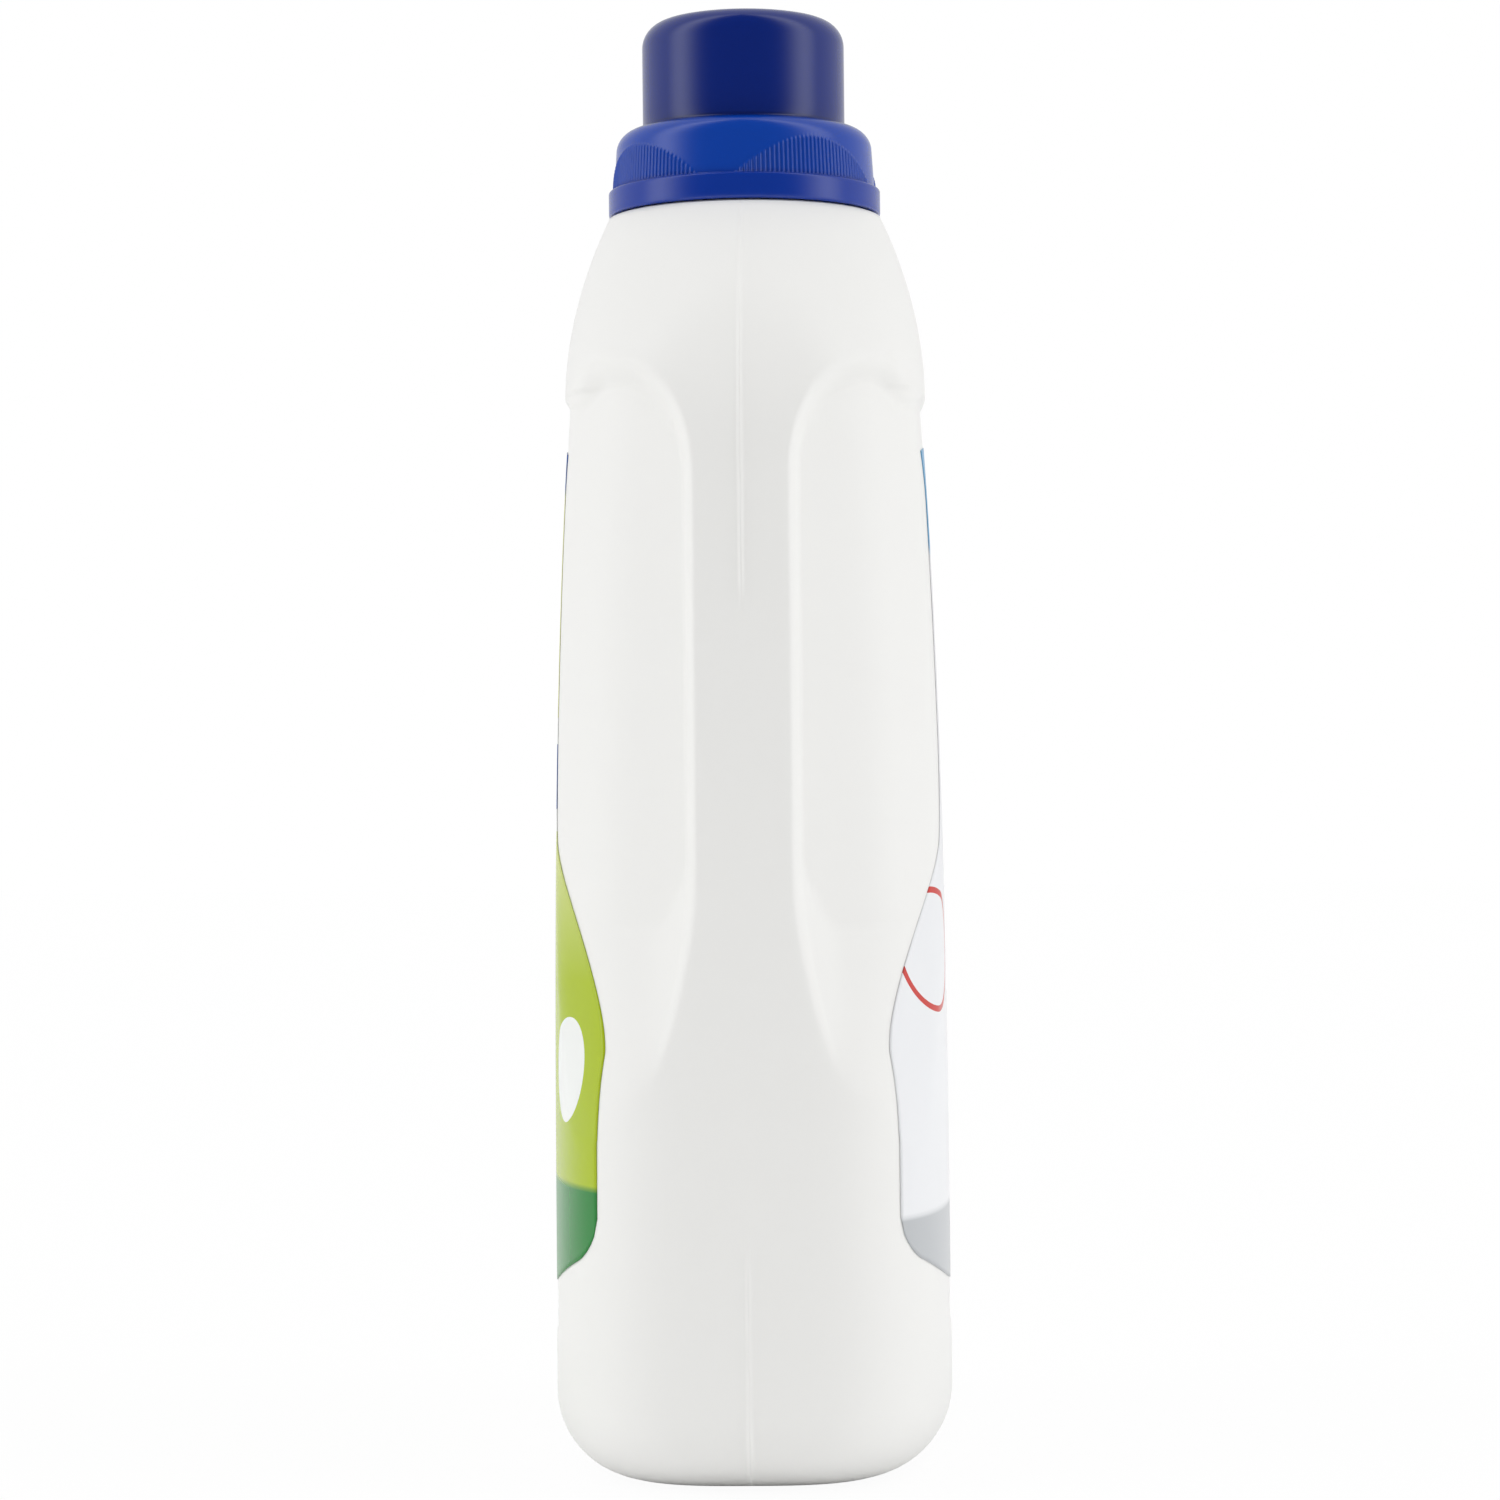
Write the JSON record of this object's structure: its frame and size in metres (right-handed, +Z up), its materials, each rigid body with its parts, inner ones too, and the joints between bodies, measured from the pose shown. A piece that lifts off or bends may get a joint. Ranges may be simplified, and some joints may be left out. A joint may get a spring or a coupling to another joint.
{
  "type": "laundry detergent bottle",
  "caption": "White blow-moulded bottle with a pinch grip on one narrow side, a translucent blue screw-on dosing cap, a pouring insert and two labels.",
  "frame": {"origin": "middle of the standing ring, on the surface that the bottle stands on", "axes": "+Z up along the neck, +X across the labels towards the grip, +Y from the front label to the back label"},
  "size_m": [0.1162, 0.0776, 0.2837],
  "materials": {
    "bottle_white": "satin blow-moulded polyethylene",
    "spout_white": "moulded natural polyethylene",
    "seal_grey": "soft foam polyethylene",
    "cap_blue": "translucent moulded polypropylene",
    "front_label_print": "printed film with a gloss coat",
    "back_label_print": "printed film with a gloss coat"
  },
  "bodies": {
    "bottle_body": {"bottle": "bottle_white", "pour_spout": "spout_white", "front_label": "front_label_print", "back_label": "back_label_print"},
    "seal_body": {"seal_ring": "seal_grey"},
    "cap_body": {"dosing_cap": "cap_blue"}
  },
  "joints": [
    {"name": "cap_lift", "type": "slide", "parent": "bottle_body", "child": "seal_body", "axis": [0, 0, 1], "range_m": [0, 0.033]},
    {"name": "cap_turn", "type": "hinge", "parent": "seal_body", "child": "cap_body", "pos_m": [0, 0, 0.25], "axis": [0, 0, 1], "range_deg": [0, 1440]}
  ],
  "couplings": [
    {"joint": "cap_lift", "follows": "cap_turn", "m_per_rad": 0.0012732}
  ]
}
